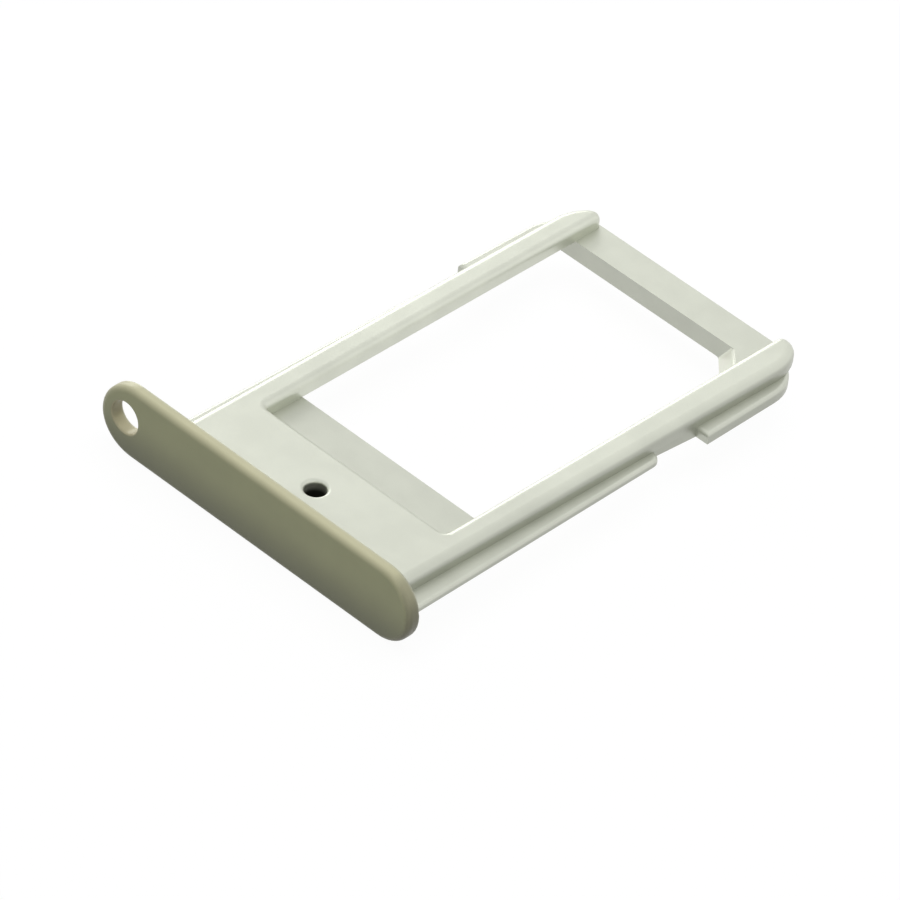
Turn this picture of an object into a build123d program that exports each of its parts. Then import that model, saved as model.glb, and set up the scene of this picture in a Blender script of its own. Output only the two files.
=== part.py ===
"""Tray for one nano SIM card: a face plate with an eject pin hole, and a stepped card frame behind it.

Millimetres. X runs along the face plate, Y into the phone, Z up.
The origin is under the middle of the tray, on the surface that it lies on.
"""

from build123d import *
from math import radians, tan
import os

# The card, and the room it needs in the pocket
card_length = 12.3
card_width = 8.8
card_thickness = 0.67
card_corner_cut = 1.65
card_end_clearance = 0.075
card_side_clearance = 0.1
card_depth_clearance = 0.06
card_corner_clearance = 0.2

# Face plate
plate_length = 13.85
plate_height = 2.72
plate_thickness = 0.43
plate_crown = 0.08
plate_front_round = 0.2
plate_back_round = 0.06

# Eject pin hole, near the plate's -X end
pin_hole_diameter = 1.18
pin_hole_from_end = 1.1
pin_hole_rise = 0.16
pin_hole_round = 0.06

# Upper layer of the frame: a deck behind the plate, and two rails with round noses, the +X one flared
frame_offset = 1.24
frame_drop = 0.37
deck_length = 2.66
deck_corner_radius = 0.18
right_rail_width = 1.15
right_rail_flare = 0.85
left_rail_width = 1.0
left_rail_flare = -0.2
rail_height = 0.56
rail_overhang = 0.5
rail_outer_round = 0.32
rail_inner_round = 0.26
rail_reach = 0.03
nose_side_radius = 2.0
nose_tip_radius = 0.6
nose_turn = 35.0

# Deck hole, blind from above
deck_hole_diameter = 0.74
deck_hole_depth = 0.95
deck_hole_from_plate = 1.03
deck_hole_shift = -0.08
deck_hole_round = 0.13

# Lower layer of the frame: a shelf behind the deck, side strips and a rear bar
shelf_length = 1.68
shelf_round = 0.05
strip_width = 0.45
strip_thickness = 0.38
rear_bar_width = 1.24
bar_front_round = 0.15

# Guide flanges along both sides, with a latch notch between them
front_flange_width = 0.65
front_flange_length = 11.12
front_flange_taper = 0.17
front_flange_thickness = 0.2
front_flange_round = 0.45
notch_length = 1.87
notch_ramp = 0.15
rear_flange_width = 0.66
rear_flange_taper = 0.08
rear_flange_setback = 0.22
rear_flange_radius = 1.65
flange_edge_round = 0.15

# Cut corner of the card pocket: its face leans in toward the underside and holds the card
corner_lean = 0.52
corner_blend = 0.2

# Sizes and levels that follow from the values above
window_length = card_length + 2 * card_end_clearance
window_half = card_width / 2 + card_side_clearance
rail_inner = window_half - rail_overhang
strip_outer = window_half + strip_width
front_flange_half = strip_outer + front_flange_width
rear_flange_half = strip_outer + rear_flange_width
corner_leg = card_corner_cut - card_corner_clearance

rail_top = plate_height - frame_drop
seat_level = rail_top - rail_height
block_bottom = seat_level - card_thickness - card_depth_clearance
strip_bottom = seat_level - strip_thickness

frame_length = deck_length + shelf_length + window_length + rear_bar_width + rail_reach
tray_length = plate_crown + plate_thickness + frame_length
plate_front = plate_crown - tray_length / 2
plate_back = plate_front + plate_thickness
plate_middle = plate_back - plate_thickness / 2
deck_back = plate_back + deck_length
window_front = deck_back + shelf_length
window_back = window_front + window_length
bar_back = window_back + rear_bar_width
bar_corner_radius = strip_outer - rail_inner
bar_corner_start = bar_back - bar_corner_radius
nose_tip = bar_back + rail_reach
front_flange_back = plate_back + front_flange_length
rear_flange_front = front_flange_back + notch_length
rear_flange_back = bar_back - rear_flange_setback
small = 0.001


def frame_plane(level):
    """Level plane whose origin lies on the frame's centre line."""
    return Plane(origin=(frame_offset, 0, level))


def from_centre(shape):
    """Distance of a shape's middle from the frame's centre line."""
    return abs(shape.center().X - frame_offset)


def half_frame(rail_width, rail_flare):
    """Half of the upper layer seen from above: half of the deck, and a rail whose outer wall flares out."""
    step = Vector(nose_side_radius - nose_tip_radius, 0).rotate(Axis.Z, nose_turn)
    side_centre = Vector(rail_inner + rail_width - nose_side_radius, nose_tip - nose_tip_radius - step.Y)
    with BuildSketch() as half:
        with BuildLine():
            side = CenterArc(side_centre, nose_side_radius, -rail_flare, nose_turn + rail_flare)
            end = CenterArc(side_centre + step, nose_tip_radius, nose_turn, 90 - nose_turn)
            flare = ((side @ 0).Y - plate_middle) * tan(radians(rail_flare))
            Polyline((0, plate_middle), ((side @ 0).X - flare, plate_middle), side @ 0)
            Polyline(end @ 1, (rail_inner, nose_tip), (rail_inner, deck_back), (0, deck_back))
            Line((0, deck_back), (0, plate_middle))
        make_face()
    return half.sketch


# Face plate: round ends, and a front that is crowned from top to bottom
with BuildPart() as face_plate:
    with BuildSketch(Plane.XZ.offset(-plate_back)):
        with Locations((0, plate_height / 2)):
            SlotOverall(plate_length, plate_height)
    extrude(amount=plate_thickness + plate_crown)
    with BuildSketch(Plane.YZ):
        with BuildLine():
            ThreePointArc(
                (plate_front, 0), (plate_front - plate_crown, plate_height / 2), (plate_front, plate_height)
            )
            Polyline(
                (plate_front, plate_height), (plate_back, plate_height), (plate_back, 0), (plate_front, 0)
            )
        make_face()
    extrude(amount=plate_length, both=True, mode=Mode.INTERSECT)
    fillet(face_plate.edges().filter_by(lambda e: e.center().Y < plate_front + small), plate_front_round)
    fillet(face_plate.edges().filter_by(lambda e: e.center().Y > plate_back - small), plate_back_round)

    # Eject pin hole, through the plate, with eased rims
    pin_hole_at = Vector(pin_hole_from_end - plate_length / 2, 0, plate_height / 2 + pin_hole_rise)
    with BuildSketch(Plane.XZ.offset(-plate_back)):
        with Locations((pin_hole_at.X, pin_hole_at.Z)):
            Circle(pin_hole_diameter / 2)
    extrude(amount=plate_thickness + plate_crown, mode=Mode.SUBTRACT)
    round_walls = face_plate.faces().filter_by(GeomType.CYLINDER)
    pin_hole_wall = round_walls.filter_by(lambda f: abs(f.radius - pin_hole_diameter / 2) < small)[0]
    fillet(pin_hole_wall.edges().filter_by(GeomType.LINE, reverse=True), pin_hole_round)

# Shelf block under the deck
with BuildPart() as shelf:
    with BuildSketch(frame_plane(block_bottom)):
        with Locations((0, (plate_middle + window_front) / 2)):
            Rectangle(2 * strip_outer, window_front - plate_middle)
    extrude(amount=seat_level - block_bottom)
    fillet(shelf.edges().group_by(Axis.Z)[-1].sort_by(Axis.Y)[-1], shelf_round)

# Rear bar with the pocket's cut corner
with BuildPart() as rear_bar:
    with BuildSketch(frame_plane(block_bottom)):
        with BuildLine():
            Polyline((0, window_back), (strip_outer, window_back), (strip_outer, bar_corner_start))
            CenterArc((rail_inner, bar_corner_start), bar_corner_radius, 0, 90)
            Line((rail_inner, bar_back), (0, bar_back))
            mirror(about=Plane.YZ)
        make_face()
    extrude(amount=seat_level - block_bottom)
    with BuildPart(mode=Mode.ADD):
        for level, leg in ((block_bottom, corner_leg + corner_lean), (seat_level, corner_leg)):
            with BuildSketch(frame_plane(level)):
                with BuildLine():
                    Polyline(
                        (window_half - leg, window_back),
                        (strip_outer, window_back - leg - strip_width),
                        (strip_outer, window_back),
                        close=True,
                    )
                make_face()
        loft()
    front_edges = rear_bar.edges().filter_by(lambda e: abs(e.center().Y - window_back) < small)
    front_edges = front_edges.filter_by(lambda e: from_centre(e) < window_half)
    fillet(front_edges.group_by(Axis.Z)[1], corner_blend)
    top_edges = rear_bar.edges().group_by(Axis.Z)[-1]
    top_edges = top_edges.filter_by(lambda e: from_centre(e) < strip_outer - small)
    fillet(top_edges.filter_by(lambda e: e.center().Y < window_back + small), bar_front_round)

# Side strips with the guide flanges
with BuildPart() as guides:
    with BuildSketch(frame_plane(strip_bottom)) as strips:
        with BuildLine():
            Polyline(
                (0, rear_flange_front),
                (rear_flange_half, rear_flange_front),
                (rear_flange_half - rear_flange_taper, rear_flange_back),
                (0, rear_flange_back),
            )
            mirror(about=Plane.YZ)
        make_face()
        far_corners = strips.vertices().group_by(Axis.Y)[-1]
        fillet(far_corners.filter_by(lambda v: abs(v.X) > small), rear_flange_radius)
        with BuildLine():
            Polyline(
                (0, plate_middle),
                (strip_outer, plate_middle),
                (strip_outer, front_flange_back),
                (strip_outer + notch_ramp, rear_flange_front),
                (strip_outer, window_back),
                (0, window_back),
            )
            mirror(about=Plane.YZ)
        make_face()
    extrude(amount=strip_thickness)

    # Front flanges, thinner and tapered toward the notch
    with BuildSketch(frame_plane(seat_level - front_flange_thickness)) as front_flanges:
        with BuildLine():
            Polyline(
                (0, plate_middle),
                (front_flange_half, plate_middle),
                (front_flange_half - front_flange_taper, front_flange_back),
                (0, front_flange_back),
            )
            mirror(about=Plane.YZ)
        make_face()
        far_corners = front_flanges.vertices().group_by(Axis.Y)[-1]
        fillet(far_corners.filter_by(lambda v: abs(v.X) > small), front_flange_round)
    extrude(amount=front_flange_thickness)
    rim = guides.edges().group_by(Axis.Z)[-1].filter_by(lambda e: from_centre(e) > strip_outer + notch_ramp)
    fillet(rim, flange_edge_round)

    # Card window between the strips
    with BuildSketch(frame_plane(strip_bottom)):
        with Locations((0, (window_front + window_back) / 2)):
            Rectangle(2 * window_half, window_length)
    extrude(amount=strip_thickness, mode=Mode.SUBTRACT)

right_half = half_frame(right_rail_width, right_rail_flare)
left_half = mirror(half_frame(left_rail_width, left_rail_flare), about=Plane.YZ)

with BuildPart() as sim_tray:
    # Deck and rails: a U that is open at the rear, each rail ending in a round nose
    with BuildSketch(frame_plane(seat_level)) as upper_outline:
        add([right_half, left_half])
        deck_corners = upper_outline.vertices().filter_by(lambda v: abs(v.Y - deck_back) < small)
        fillet(deck_corners.filter_by(lambda v: abs(v.X) > small), deck_corner_radius)
    extrude(amount=rail_height)
    top_edges = sim_tray.edges().group_by(Axis.Z)[-1]
    fillet(top_edges.filter_by(lambda e: from_centre(e) > rail_inner + small), rail_outer_round)
    corner_end = deck_back + deck_corner_radius
    rail_edges = sim_tray.edges().filter_by(lambda e: abs(from_centre(e) - rail_inner) < small)
    rail_edges = rail_edges.filter_by(lambda e: e.center().Z > seat_level + small)
    rail_edges = rail_edges.filter_by(lambda e: e.center().Y > corner_end + small)
    deck_edges = sim_tray.edges().group_by(Axis.Z)[-1]
    deck_edges = deck_edges.filter_by(lambda e: from_centre(e) < rail_inner - small)
    deck_edges = deck_edges.filter_by(lambda e: deck_back - small < e.center().Y < corner_end)
    fillet(rail_edges + deck_edges, rail_inner_round)

    add([shelf.part, rear_bar.part, guides.part, face_plate.part])

    # Deck hole
    with BuildSketch(frame_plane(rail_top)):
        with Locations((deck_hole_shift, plate_back + deck_hole_from_plate)):
            Circle(deck_hole_diameter / 2)
    extrude(amount=-deck_hole_depth, mode=Mode.SUBTRACT)
    circles = sim_tray.edges().filter_by(GeomType.CIRCLE)
    deck_rims = circles.filter_by(lambda e: abs(e.radius - deck_hole_diameter / 2) < small)
    fillet(deck_rims.sort_by(Axis.Z)[-1], deck_hole_round)

sim_tray.part.label = "sim_tray"
print(f"sim_tray: {tray_length:.2f} mm long, window {2 * window_half:.2f} by {window_length:.2f} mm")

os.makedirs("parts", exist_ok=True)
export_step(sim_tray.part, "parts/sim_tray.step")
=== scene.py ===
# %% [markdown]
# # A SIM card tray in satin metal
# The tray is one small piece of metal: a gold face plate, and behind it an open silver frame that carries
# the card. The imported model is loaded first. It fixes every size, so nothing is fitted by eye. Its rounded
# edges are already in the solid, so the mesh is used as it comes, and this lesson is about finish and light.

# %% Load the frame
import math

import bpy
from mathutils import Matrix, Vector

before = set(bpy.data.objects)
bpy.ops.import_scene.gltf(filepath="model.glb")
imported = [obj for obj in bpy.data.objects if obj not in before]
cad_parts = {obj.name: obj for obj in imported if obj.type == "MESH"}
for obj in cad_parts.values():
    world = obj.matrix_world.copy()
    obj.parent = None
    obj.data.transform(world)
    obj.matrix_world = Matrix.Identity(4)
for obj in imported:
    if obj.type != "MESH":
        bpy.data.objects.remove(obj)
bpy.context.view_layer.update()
MM = 0.001
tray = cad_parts["sim_tray"]

# %% [markdown]
# ## Camera
# A small thing photographed from some way off through a long lens shows almost no perspective. The camera
# looks down at the front right corner, and it is rolled a little, so the plate's long edge runs steeply
# downhill. A Track To constraint could aim it but not roll it, so its three axes are worked out here.

# %% Camera at the photograph's viewing angle
VIEW_AZIMUTH = math.radians(41.081)
VIEW_ELEVATION = math.radians(39.609)
VIEW_ROLL = math.radians(5.987)
VIEW_DISTANCE = 274.888 * MM
AIM_POINT = Vector((3.3586, -4.1072, 3.3765)) * MM
LENS_MM = 352.0
SENSOR_MM = 36.0


def aim_camera():
    """Camera whose axes follow from the azimuth, the elevation and the roll."""
    toward_camera = Vector((
        math.sin(VIEW_AZIMUTH) * math.cos(VIEW_ELEVATION),
        -math.cos(VIEW_AZIMUTH) * math.cos(VIEW_ELEVATION),
        math.sin(VIEW_ELEVATION),
    ))
    level = Vector((math.cos(VIEW_AZIMUTH), math.sin(VIEW_AZIMUTH), 0))
    upright = toward_camera.cross(level)
    right = math.cos(VIEW_ROLL) * level + math.sin(VIEW_ROLL) * upright
    up = toward_camera.cross(right)
    data = bpy.data.cameras.new("photo_camera")
    data.lens = LENS_MM
    data.sensor_width = SENSOR_MM
    camera = bpy.data.objects.new("photo_camera", data)
    turn = Matrix((right, up, toward_camera)).transposed()
    camera.matrix_world = Matrix.Translation(AIM_POINT + VIEW_DISTANCE * toward_camera) @ turn.to_4x4()
    bpy.context.scene.collection.objects.link(camera)
    bpy.context.scene.camera = camera
    return camera


camera = aim_camera()
print("camera at", [round(v, 4) for v in camera.location], "m")

# %% [markdown]
# ## Node helpers
# The tray has two colours and several finishes on one mesh. It could be cut into pieces with a material
# each, but a real coat fades out over an edge, so one material does it all. It needs a lot of small nodes,
# and a few helpers keep their code short. The first ones make nodes, sums and masks.

# %% Helpers for nodes and masks
def add_node(tree, kind, settings=None, **inputs):
    """New node. A number or a colour sets an input's value, and a socket is linked to the input."""
    node = tree.nodes.new(kind)
    for key, value in (settings or {}).items():
        setattr(node, key, value)
    for key, value in inputs.items():
        by_number = key[0] == "i" and key[1:].isdigit()
        socket = node.inputs[int(key[1:]) if by_number else key.replace("_", " ")]
        if isinstance(value, bpy.types.NodeSocket):
            tree.links.new(value, socket)
        else:
            socket.default_value = value
    return node


def math_node(tree, operation, *values):
    """Output of a Math node."""
    inputs = {f"i{i}": value for i, value in enumerate(values)}
    return add_node(tree, "ShaderNodeMath", {"operation": operation}, **inputs).outputs["Value"]


def ramp(tree, value, start, end, low=0.0, high=1.0):
    """Smooth step of a value from low at start to high at end."""
    node = add_node(tree, "ShaderNodeMapRange", {"interpolation_type": "SMOOTHSTEP"}, Value=value,
                    From_Min=start, From_Max=end, To_Min=low, To_Max=high)
    return node.outputs["Result"]


def all_of(tree, *masks):
    """Where all the masks hold: their product."""
    result = masks[0]
    for mask in masks[1:]:
        result = math_node(tree, "MULTIPLY", result, mask)
    return result


def rest_of(tree, mask):
    """Where the mask doesn't hold."""
    return math_node(tree, "SUBTRACT", 1.0, mask)


print("mask helpers ready")

# %% [markdown]
# The next helpers are for colours. A Mix node has a socket for every kind of value it can mix, so the colour
# sockets are picked by their type. The other two make a colour lighter or darker, all over or where a mask
# holds.

# %% Helpers for colours
def blend(tree, factor, first, second, kind="MIX"):
    """Colour mix of two colours."""
    node = tree.nodes.new("ShaderNodeMix")
    node.data_type = "RGBA"
    node.blend_type = kind
    for name, value in (("Factor", factor), ("A", first), ("B", second)):
        wanted = "VALUE" if name == "Factor" else "RGBA"
        socket = [s for s in node.inputs if s.name == name and s.type == wanted][0]
        if isinstance(value, bpy.types.NodeSocket):
            tree.links.new(value, socket)
        else:
            socket.default_value = value
    return [s for s in node.outputs if s.type == "RGBA"][0]


def tone(tree, colour, level):
    """Colour times a level."""
    grey = add_node(tree, "ShaderNodeCombineColor", Red=level, Green=level, Blue=level).outputs["Color"]
    return blend(tree, 1.0, colour, grey, "MULTIPLY")


def tone_where(tree, mask, colour, level):
    """Colour times a level where the mask holds."""
    return tone(tree, colour, ramp(tree, mask, 0.0, 1.0, 1.0, level))


print("colour helpers ready")

# %% [markdown]
# ## Gold coat
# Only the face plate is coated, to match the phone's case. The coat fades out over the plate's rear edge. It
# is paler round the outline, partly as rubbed wear and partly as a painted highlight on the lit top edge, and
# the wall and lip of the pin hole have a painted highlight. Painting that by hand would need an image, so
# each mask is worked out from the place on the tray in metres. It stays put from every side.

# %% Masks of the coat
PLATE_HEIGHT = 2.72 * MM
PLATE_LENGTH = 13.85 * MM
COAT_EDGE = -8.815 * MM
COAT_FADE = 0.2 * MM
RIM_WIDTH = 0.25 * MM
PIN_HOLE_AT = (-5.825 * MM, 0, 1.52 * MM)
PIN_HOLE_RADIUS = 0.59 * MM
LIP_START = 0.01 * MM
LIP_END = 0.07 * MM


def distance_to(tree, x, y, z, point):
    """Distance of a place from a point. An axis that is left at 0 in both doesn't count."""
    place = add_node(tree, "ShaderNodeCombineXYZ", X=x, Y=y, Z=z).outputs["Vector"]
    node = add_node(tree, "ShaderNodeVectorMath", {"operation": "DISTANCE"}, i0=place, i1=point)
    return node.outputs["Value"]


def coat_masks(tree, x, y, z):
    """Bare metal behind the coat, worn rim with painted highlight, pin hole lip with painted highlight."""
    bare = ramp(tree, y, COAT_EDGE - COAT_FADE / 2, COAT_EDGE + COAT_FADE / 2)
    straight = (PLATE_LENGTH - PLATE_HEIGHT) / 2
    along = math_node(tree, "SUBTRACT", math_node(tree, "ABSOLUTE", x), straight)
    beyond = math_node(tree, "MAXIMUM", along, 0.0)
    from_axis = distance_to(tree, beyond, 0.0, z, (0, 0, PLATE_HEIGHT / 2))
    rim = ramp(tree, from_axis, PLATE_HEIGHT / 2 - RIM_WIDTH, PLATE_HEIGHT / 2)
    from_pin = distance_to(tree, x, 0.0, z, PIN_HOLE_AT)
    lip = ramp(tree, from_pin, PIN_HOLE_RADIUS + LIP_END, PIN_HOLE_RADIUS + LIP_START)
    return bare, rim, lip


print("coat ends at", round(COAT_EDGE / MM, 2), "mm")

# %% [markdown]
# ## Deck hole
# The small hole behind the plate is blind and nearly black inside. In a pale studio its metal walls would
# pass light down to the floor of the hole, so its inside is painted dark as shade, more with depth, and loses
# its metal sheen. The mask ends just below that floor, so the underside of the deck stays clean.

# %% Mask of the deck hole
RAIL_TOP = 2.35 * MM
DECK_HOLE_AT = (1.16 * MM, -7.745 * MM, 0)
DECK_HOLE_RADIUS = 0.37 * MM
DECK_HOLE_FLOOR = 1.4 * MM
HOLE_EDGE = (0.06 * MM, 0.02 * MM)
DARK_FROM = RAIL_TOP - 0.15 * MM
DARK_BY = RAIL_TOP - 0.45 * MM
CLEAN_BELOW = DECK_HOLE_FLOOR - 0.2 * MM
DARK_DOWN_TO = DECK_HOLE_FLOOR - 0.1 * MM


def hole_mask(tree, x, y, z):
    """Inside of the deck hole, where shade is painted, stronger with depth."""
    away = distance_to(tree, x, y, 0.0, DECK_HOLE_AT)
    within = ramp(tree, away, DECK_HOLE_RADIUS + HOLE_EDGE[0], DECK_HOLE_RADIUS + HOLE_EDGE[1])
    deep = ramp(tree, z, DARK_FROM, DARK_BY)
    above_floor = ramp(tree, z, CLEAN_BELOW, DARK_DOWN_TO)
    return all_of(tree, within, deep, above_floor)


print("hole darkens between", round(DARK_FROM / MM, 2), "and", round(DARK_BY / MM, 2), "mm")

# %% [markdown]
# ## Walls and tops
# The colour isn't the same all over. Painted shade darkens the flanks, the plate's end away from the pin hole
# and the walls across the window, and painted light brightens the walls along the window, the cut corner and
# the rails' tops. Faces could be picked by number, but a number changes with the mesh. The normal in object
# coordinates says which way a surface faces, and that lasts.

# %% Masks of the walls
FRAME_MIDDLE = 1.24 * MM
OUTER_SIDE = 4.6 * MM
OUTER_FADE = 0.2 * MM


def outer_mask(tree, x):
    """Outer part of the tray: the rails' flanks, the guide flanges and the plate's ends."""
    from_middle = math_node(tree, "ABSOLUTE", math_node(tree, "SUBTRACT", x, FRAME_MIDDLE))
    return ramp(tree, from_middle, OUTER_SIDE, OUTER_SIDE + OUTER_FADE)


def wall_masks(tree, outer, facing):
    """Flanks, the plate's end away from the pin hole, walls along the window, walls across it, cut corner."""
    sideways = math_node(tree, "ABSOLUTE", facing["X"])
    # flank: where shade is painted on the flanks.
    flank = all_of(tree, outer, ramp(tree, sideways, 0.7, 1.1))
    # end: where shade is painted on the plate's end away from the pin hole.
    end = all_of(tree, outer, ramp(tree, facing["X"], 0.1, 0.7))
    # along: where light is painted on the walls along the window.
    along = all_of(tree, rest_of(tree, outer), ramp(tree, sideways, 0.3, 0.9))
    # across: where shade is painted on the walls across the window.
    across = ramp(tree, facing["Y"], -0.75, -1.0)
    # corner: where light is painted on the cut corner.
    corner = ramp(tree, math_node(tree, "MAXIMUM", facing["X"], facing["Y"]), -0.3, -0.5)
    return flank, end, along, across, corner


print("flanks start", round(OUTER_SIDE / MM, 2), "mm from the frame's middle")

# %% [markdown]
# Two surfaces that face up also differ from the deck: the shelf behind it gets painted shade, and the tops
# of the rails beside the window get painted light. Their height tells one from the other.

# %% Masks of the tops
SEAT_LEVEL = 1.79 * MM
STEP_START = SEAT_LEVEL + 0.04 * MM
STEP_END = SEAT_LEVEL + 0.12 * MM
WINDOW_FRONT = -4.435 * MM


def top_masks(tree, outer, y, z, facing):
    """Shelf behind the deck, and the rails' tops beside the window."""
    upward = ramp(tree, facing["Z"], 0.3, 0.8)
    high = ramp(tree, z, STEP_START, STEP_END)
    low_inside = rest_of(tree, math_node(tree, "MAXIMUM", high, outer))
    # shelf: where shade is painted on the shelf behind the deck.
    shelf = all_of(tree, upward, low_inside, ramp(tree, y, 0.0, WINDOW_FRONT))
    # rail: where light is painted on the rails' tops.
    rail = all_of(tree, upward, high, ramp(tree, y, WINDOW_FRONT, 0.0))
    return shelf, rail


print("card seat at", round(SEAT_LEVEL / MM, 2), "mm")

# %% [markdown]
# ## Colours
# The gold is a pale champagne coat. Its rim is lighter, partly from rubbed wear and partly as a painted
# highlight, the pin hole's lip has a painted highlight, and painted shade darkens it toward the plate's lower
# edge and on its end away from the pin hole. The silver is a slightly warm grey, with painted shade on the
# walls across the window and on the shelf, and painted light on the walls along the window, the cut corner
# and the rails' tops. Every shade could be a colour of its own, but here most of them are levels of one plain
# colour, so changing that colour changes them all.

# %% Gold and silver
GOLD = (0.65, 0.67, 0.385, 1)
# Rim colour: partly rubbed wear, partly a painted highlight on the lit top edge.
GOLD_RIM_WEAR_AND_HIGHLIGHT = (0.75, 0.73, 0.48, 1)
# Painted highlight on the wall and lip of the pin hole.
GOLD_LIP_HIGHLIGHT = (0.78, 0.73, 0.49, 1)
# Painted shade: the coat darkens to this level toward the plate's lower edge.
GOLD_LOW = 0.46
GOLD_FULL_AT = 0.72 * PLATE_HEIGHT
# Painted shade on the plate's end away from the pin hole.
END_SHADE = 0.72
SILVER = (0.665, 0.685, 0.595, 1)
# Painted shade on the walls across the window.
ACROSS_SHADE = 0.87
# Painted light on the walls along the window, the cut corner and the rails' tops.
ALONG_PAINTED_LIGHT = 1.15
CORNER_PAINTED_LIGHT = 1.35
RAIL_PAINTED_LIGHT = 1.08
# Painted shade on the shelf behind the deck.
SHELF_SHADE = 0.9


def gold_coat(tree, z, rim, lip, end):
    """Colour of the coat, with its painted highlights and painted shade."""
    # Paler rim: rubbed wear and a painted highlight.
    gold = blend(tree, rim, GOLD, GOLD_RIM_WEAR_AND_HIGHLIGHT)
    # Painted shade toward the lower edge.
    gold = tone(tree, gold, ramp(tree, z, 0.0, GOLD_FULL_AT, GOLD_LOW, 1.0))
    # Painted shade on the end away from the pin hole.
    gold = tone_where(tree, end, gold, END_SHADE)
    # Painted highlight on the pin hole's lip.
    return blend(tree, lip, gold, GOLD_LIP_HIGHLIGHT)


def bare_silver(tree, across, along, corner, rail, shelf):
    """Colour of the bare metal, with painted shade and painted light on some faces."""
    # Painted shade on the walls across the window.
    silver = tone_where(tree, across, SILVER, ACROSS_SHADE)
    # Painted light on the walls along the window.
    silver = tone_where(tree, along, silver, ALONG_PAINTED_LIGHT)
    # Painted light on the cut corner.
    silver = tone_where(tree, corner, silver, CORNER_PAINTED_LIGHT)
    # Painted light on the rails' tops.
    silver = tone_where(tree, rail, silver, RAIL_PAINTED_LIGHT)
    # Painted shade on the shelf behind the deck.
    return tone_where(tree, shelf, silver, SHELF_SHADE)


print("gold", GOLD[:3], "silver", SILVER[:3])

# %% [markdown]
# ## Satin finish
# The metal is bead blasted, which leaves a fine even grain that spreads every reflection. One roughness all
# over looks like plastic, so a fine noise moves the roughness and raises a very small bump. A broad noise
# keeps the colour from being dead flat. Painted shade darkens the flanks, an ambient occlusion node paints a
# little shade into the creases, and the deck hole is painted dark inside.

# %% Satin metal
# Painted shade on the flanks and, through ambient occlusion, in the creases.
FLANK_SHADE = 0.72
# Painted shade in the creases, from an ambient occlusion node.
CREASE_SHADE = 0.89
CREASE_REACH = 0.4 * MM
CLOUD_SIZE = 1.3 * MM
CLOUD_SHADE = 0.025
# Colour painted inside the deck hole as shade.
HOLE_DARK = (0.03, 0.03, 0.022, 1)
SILVER_METALLIC = 0.75
GOLD_METALLIC = 0.05
ROUGHNESS = 0.4
ROUGHNESS_SPREAD = 0.04
GRAIN_SIZE = 0.045 * MM
GRAIN_DEPTH = 0.0012 * MM


def noise(tree, place, size, detail):
    """Noise whose lumps have about the given size."""
    return add_node(tree, "ShaderNodeTexNoise", Vector=place, Scale=1 / size, Detail=detail).outputs["Fac"]


def painted_shade_and_clouds(tree, place, colour, flank, hole):
    """Colour with painted shade on the flanks, in the creases and in the hole, and soft clouds of tone."""
    crease = add_node(tree, "ShaderNodeAmbientOcclusion", {"only_local": True, "samples": 8},
                      Distance=CREASE_REACH).outputs["AO"]
    cloud = noise(tree, place, CLOUD_SIZE, 3.0)
    # Painted shade on the flanks.
    colour = tone_where(tree, flank, colour, FLANK_SHADE)
    # Painted shade in the creases from an ambient occlusion node.
    colour = tone(tree, colour, ramp(tree, crease, 0.25, 0.9, CREASE_SHADE, 1.0))
    colour = tone(tree, colour, ramp(tree, cloud, 0.3, 0.7, 1 - CLOUD_SHADE, 1 + CLOUD_SHADE))
    # Painted shade inside the deck hole.
    return blend(tree, hole, colour, HOLE_DARK)


def satin_metal():
    """Bead blasted silver with a gold coat in front of the plate's rear edge."""
    material = bpy.data.materials.new("satin_metal_gold_face")
    material.use_nodes = True
    tree = material.node_tree
    shader = tree.nodes["Principled BSDF"]
    source = add_node(tree, "ShaderNodeTexCoord").outputs
    place = source["Object"]
    axes = add_node(tree, "ShaderNodeSeparateXYZ", Vector=place).outputs
    x, y, z = axes["X"], axes["Y"], axes["Z"]
    facing = add_node(tree, "ShaderNodeSeparateXYZ", Vector=source["Normal"]).outputs
    bare, rim, lip = coat_masks(tree, x, y, z)
    hole = hole_mask(tree, x, y, z)
    outer = outer_mask(tree, x)
    flank, end, along, across, corner = wall_masks(tree, outer, facing)
    shelf, rail = top_masks(tree, outer, y, z, facing)
    gold = gold_coat(tree, z, rim, lip, end)
    silver = bare_silver(tree, across, along, corner, rail, shelf)
    colour = painted_shade_and_clouds(tree, place, blend(tree, bare, gold, silver), flank, hole)
    tree.links.new(colour, shader.inputs["Base Color"])
    metallic = ramp(tree, bare, 0.0, 1.0, GOLD_METALLIC, SILVER_METALLIC)
    tree.links.new(all_of(tree, metallic, rest_of(tree, hole)), shader.inputs["Metallic"])
    grain = noise(tree, place, GRAIN_SIZE, 2.0)
    spread = ramp(tree, grain, 0.3, 0.7, -ROUGHNESS_SPREAD, ROUGHNESS_SPREAD)
    tree.links.new(math_node(tree, "ADD", spread, ROUGHNESS), shader.inputs["Roughness"])
    bump = add_node(tree, "ShaderNodeBump", Height=grain, Strength=1.0, Distance=GRAIN_DEPTH)
    tree.links.new(bump.outputs["Normal"], shader.inputs["Normal"])
    return material


finish = satin_metal()
for slot in tray.material_slots:
    slot.material = finish
print("finish:", finish.name, "with", len(finish.node_tree.nodes), "nodes on", tray.name)

# %% [markdown]
# ## Floor
# The photograph is a high-key studio shot: a white ground with hardly a shadow. More light would bleach the
# tray too, so the floor is only shown as white. The Light Path node tells who looks: the camera and the
# metal's reflections see white with a faint shadow, and light on its way to a surface meets a grey floor.

# %% White floor
FLOOR_HALF = 0.5
FLOOR_GREY = (0.25, 0.25, 0.25, 1)
FLOOR_SHADE = 0.07
FLOOR_WHITE = 1.03


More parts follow.
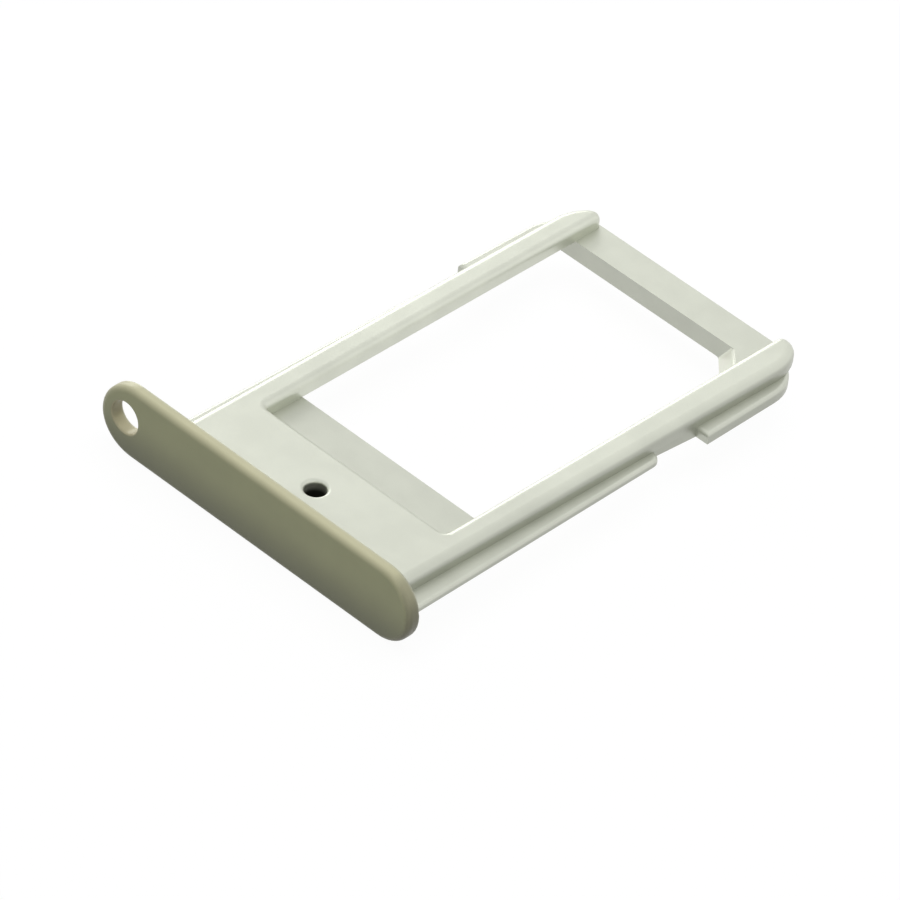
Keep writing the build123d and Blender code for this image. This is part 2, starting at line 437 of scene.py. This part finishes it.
def seen_share(tree):
    """1 for a ray from the camera, in a reflection or through glass, and 0 for other rays."""
    path = add_node(tree, "ShaderNodeLightPath").outputs
    mirrored = math_node(tree, "MAXIMUM", path["Is Glossy Ray"], path["Is Transmission Ray"])
    return math_node(tree, "MAXIMUM", path["Is Camera Ray"], mirrored)


def floor_material():
    """Grey for the light, white with a share of shadow for the camera and the metal."""
    material = bpy.data.materials.new("floor_white")
    material.use_nodes = True
    tree = material.node_tree
    tree.nodes.clear()
    matt = add_node(tree, "ShaderNodeBsdfDiffuse", Color=FLOOR_GREY).outputs["BSDF"]
    chalk = add_node(tree, "ShaderNodeBsdfDiffuse", Color=(1, 1, 1, 1)).outputs["BSDF"]
    white = add_node(tree, "ShaderNodeEmission", Strength=FLOOR_WHITE).outputs["Emission"]
    shaded = add_node(tree, "ShaderNodeMixShader", Fac=FLOOR_SHADE, i1=white, i2=chalk).outputs["Shader"]
    choice = add_node(tree, "ShaderNodeMixShader", Fac=seen_share(tree), i1=matt, i2=shaded)
    add_node(tree, "ShaderNodeOutputMaterial", Surface=choice.outputs["Shader"])
    return material


def white_floor():
    """Square floor under the tray."""
    mesh = bpy.data.meshes.new("floor")
    corners = [(-FLOOR_HALF, -FLOOR_HALF, 0), (FLOOR_HALF, -FLOOR_HALF, 0),
               (FLOOR_HALF, FLOOR_HALF, 0), (-FLOOR_HALF, FLOOR_HALF, 0)]
    mesh.from_pydata(corners, [], [(0, 1, 2, 3)])
    mesh.materials.append(floor_material())
    floor = bpy.data.objects.new("floor", mesh)
    bpy.context.scene.collection.objects.link(floor)
    return floor


floor = white_floor()
print("floor:", 2 * FLOOR_HALF, "m wide")

# %% [markdown]
# ## Light
# One broad light hangs over the tray, and a smaller one stands low behind it on the left, so the face plate
# lies in soft shade as in the photograph. The metal doesn't mirror the broad one: its square would show as a
# hard glare on the tops. The world adds a little light from all round.

# %% Soft light
WORLD_LEVEL = 0.2


def soft_world(level):
    """Even light from all round, which the camera and the metal see as white."""
    world = bpy.data.worlds.new("studio")
    world.use_nodes = True
    tree = world.node_tree
    background = tree.nodes["Background"]
    background.inputs["Color"].default_value = (1, 1, 1, 1)
    strength = add_node(tree, "ShaderNodeMapRange", Value=seen_share(tree), To_Min=level, To_Max=1.0)
    tree.links.new(strength.outputs["Result"], background.inputs["Strength"])
    bpy.context.scene.world = world


def soft_box(name, azimuth, elevation, distance, size, power):
    """Square light aimed at the tray's middle. Azimuth 0 is behind it, and 90 degrees on its right."""
    data = bpy.data.lights.new(name, "AREA")
    data.shape = "SQUARE"
    data.size = size
    data.energy = power
    lamp = bpy.data.objects.new(name, data)
    azimuth, elevation = math.radians(azimuth), math.radians(elevation)
    away = Vector((
        math.sin(azimuth) * math.cos(elevation),
        math.cos(azimuth) * math.cos(elevation),
        math.sin(elevation),
    ))
    turn = away.to_track_quat("Z", "Y").to_matrix().to_4x4()
    lamp.matrix_world = Matrix.Translation(distance * away) @ turn
    bpy.context.scene.collection.objects.link(lamp)
    return lamp


soft_world(WORLD_LEVEL)
overhead = soft_box("overhead_light", azimuth=0, elevation=82, distance=0.25, size=0.24, power=0.33)
overhead.visible_glossy = False
soft_box("key_light", azimuth=-58, elevation=18, distance=0.22, size=0.1, power=0.08)
bpy.context.scene.view_settings.view_transform = "Standard"
